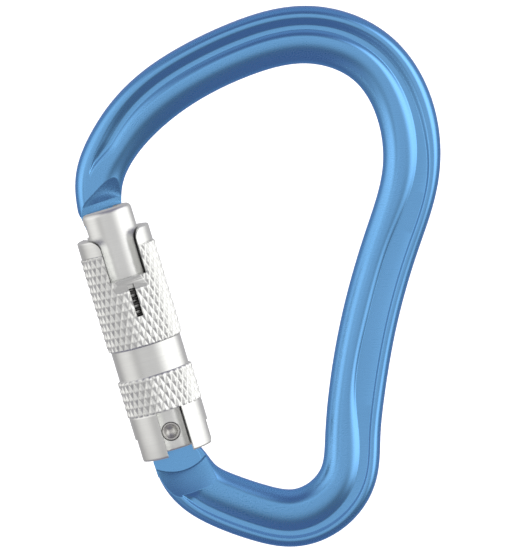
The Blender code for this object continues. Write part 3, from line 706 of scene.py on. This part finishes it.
def satin_aluminium():
    """Turned and lightly blasted aluminium, with fine rings around the axis."""
    made = Shader("satin_aluminium", Metallic=1.0)
    rings = made.noise(made.place((40, 40, 5200)), 1, 3, 0.6)
    grain = made.noise(made.place(), 4200, 2)
    clouds = made.noise(made.place(), 130, 3)
    colour = made.mix(made.span(clouds, 0, 1), (0.815, 0.82, 0.80), (0.865, 0.872, 0.855))
    colour = made.mix(made.span(rings, 0, 0.3), colour, (0.72, 0.72, 0.72))
    roughness = made.math("ADD", made.span(rings, 0.26, 0.34), made.span(grain, 0, 0.05))
    made.relief(made.math("ADD", rings, made.math("MULTIPLY", grain, 0.5)), 0.008, 0.3, 0.14)
    return made.finish(colour, roughness)


def stainless_steel():
    """Turned stainless steel, a little darker and warmer than the aluminium."""
    made = Shader("stainless_steel", Metallic=1.0)
    grain = made.noise(made.place(), 5200, 3)
    clouds = made.noise(made.place(), 900, 3)
    colour = made.mix(made.span(clouds, 0, 1), (0.58, 0.57, 0.55), (0.67, 0.66, 0.64))
    roughness = made.span(grain, 0.24, 0.36)
    made.relief(grain, 0.006, 0.4, 0.06)
    return made.finish(colour, roughness)


def spring_steel():
    """Drawn spring wire with a faint blue-brown tone and fine draw lines. Its very dark colour is partly the
    wire's own and partly painted shade, which stands for the dim inside of the sleeve where the springs sit.
    """
    made = Shader("spring_steel", Metallic=1.0)
    lines = made.noise(made.place((900, 900, 6000)), 1, 2)
    clouds = made.noise(made.place(), 500, 2)
    # Painted shade: the wire's colour is set far darker than bare steel so that it stands for the shade
    # inside the sleeve's slot.
    colour = made.mix(made.span(clouds, 0, 1), (0.07, 0.068, 0.066), (0.13, 0.127, 0.124))
    roughness = made.span(lines, 0.42, 0.55)
    made.relief(lines, 0.005, 0.3, 0.04)
    return made.finish(colour, roughness)


# ---------------------------------------------------------------- studio

def studio():
    """A pale floor well below the hanging object, a broad sun overhead and the soft lights round it."""
    low, half = CAD_BOX[0], FLOOR_HALF
    corners = [(-half, -half, 0), (half, -half, 0), (half, half, 0), (-half, half, 0)]
    floor = mesh_object("floor", corners, [(0, 1, 2, 3)], Matrix.Translation((0, 0, low.z - FLOOR_DROP)))
    pale = Shader("floor_paint", Roughness=0.9)
    tone = pale.mix(pale.noise(pale.place(gate=False), 3, 2), (0.93, 0.93, 0.93), (0.95, 0.95, 0.95))
    pale.link(tone, pale.surface, "Base Color")
    floor.data.materials.append(pale.material)
    floor.visible_glossy = False

    sun = bpy.data.objects.new("overhead", bpy.data.lights.new("overhead", "SUN"))
    sun.data.energy, sun.data.angle = SUN_STRENGTH, SUN_SPREAD
    sun.visible_glossy = False
    bpy.context.scene.collection.objects.link(sun)

    surrounding()
    bpy.context.scene.view_settings.view_transform = "Standard"


def surrounding():
    """Soft lights that fade into a dim, almost neutral surrounding; the picture's background is white."""
    world = bpy.data.worlds.new("surrounding")
    bpy.context.scene.world = world
    world.use_nodes = True
    tree = world.node_tree
    direction = tree.nodes.new("ShaderNodeTexCoord").outputs["Generated"]
    glow = tree.nodes.new("ShaderNodeRGB").outputs[0]
    glow.default_value = (*DIM, 1)
    for azimuth, elevation, full, faded, colour in SOFT_LIGHTS:
        a, e = math.radians(azimuth), math.radians(elevation)
        facing = tree.nodes.new("ShaderNodeVectorMath")
        facing.operation = "DOT_PRODUCT"
        facing.inputs[1].default_value = (math.sin(a) * math.cos(e), -math.cos(a) * math.cos(e), math.sin(e))
        tree.links.new(direction, facing.inputs[0])
        share = tree.nodes.new("ShaderNodeMapRange")
        share.interpolation_type = "SMOOTHSTEP"
        share.inputs["From Min"].default_value = math.cos(math.radians(faded))
        share.inputs["From Max"].default_value = math.cos(math.radians(full))
        tree.links.new(facing.outputs["Value"], share.inputs["Value"])
        added = tree.nodes.new("ShaderNodeMix")
        added.data_type, added.blend_type = "RGBA", "ADD"
        tree.links.new(share.outputs["Result"], added.inputs[0])
        tree.links.new(glow, added.inputs[6])
        added.inputs[7].default_value = (*colour, 1)
        glow = added.outputs[2]
    lit = tree.nodes["Background"]
    tree.links.new(glow, lit.inputs["Color"])
    pale = tree.nodes.new("ShaderNodeBackground")
    pale.inputs["Color"].default_value = (1, 1, 1, 1)
    seen = tree.nodes.new("ShaderNodeLightPath")
    choice = tree.nodes.new("ShaderNodeMixShader")
    tree.links.new(seen.outputs["Is Camera Ray"], choice.inputs[0])
    tree.links.new(lit.outputs[0], choice.inputs[1])
    tree.links.new(pale.outputs[0], choice.inputs[2])
    tree.links.new(choice.outputs[0], tree.nodes["World Output"].inputs["Surface"])


def camera():
    """A long lens in front of the object and a little above its level."""
    data = bpy.data.cameras.new("camera")
    data.sensor_width = SENSOR_WIDTH
    data.lens = SENSOR_WIDTH * CAMERA_DISTANCE / PICTURE_HEIGHT
    data.clip_start, data.clip_end = 0.05, 200
    eye = bpy.data.objects.new("camera", data)
    away = Vector((0, -math.cos(CAMERA_RAISED), math.sin(CAMERA_RAISED)))
    eye.location = CAMERA_AIM + away * CAMERA_DISTANCE
    eye.rotation_euler = away.to_track_quat("Z", "Y").to_euler()
    bpy.context.scene.collection.objects.link(eye)
    bpy.context.scene.camera = eye


# ---------------------------------------------------------------- the pieces on their bodies

def dress(item, material, slot, body, *nodes):
    """Gives a new piece its material, the CAD nodes it stands for and the body it rides on; its slot is not
    used.
    """
    item.data.materials.clear()
    item.data.materials.append(material)
    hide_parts(*nodes)
    if body:
        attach(item, body)
    return item


def build():
    blue, silver = anodised_blue(), satin_aluminium()
    # The spring wire's material is darkened with painted shade for the inside of the sleeve.
    steel, wire = stainless_steel(), spring_steel()
    forged = dress(forged_body(), blue, "anodised_body", "frame", "body")
    forged.visible_glossy = False
    dress(turned_gate(), silver, "satin_aluminium", "gate", "gate_barrel")
    dress(knurled_sleeve(), silver, "satin_aluminium", "sleeve", "lock_sleeve")
    dress(peened_rivet(), steel, "stainless_steel", "gate", "hinge_rivet")

    wound = wound_spring("sleeve_spring_wire", SLEEVE_SPRING)
    spring = dress(wound, wire, "spring_steel", None, "sleeve_spring")
    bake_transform(spring)
    wound = wound_spring("gate_spring_wire", GATE_SPRING)
    spring = dress(wound, wire, "spring_steel", None, "gate_spring")
    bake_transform(spring)

    # The stop ring shares the spring wire's colour, which is darkened with painted shade.
    kept = {"gate_plunger": (steel, "stainless_steel"), "guide_pin": (steel, "stainless_steel"),
            "lift_washer": (steel, "stainless_steel"), "spring_stop_ring": (wire, "spring_steel")}
    for name, (finish, slot) in kept.items():
        node = frame["nodes"][name]
        node.data.materials.clear()
        node.data.materials.append(finish)


build()
studio()
camera()
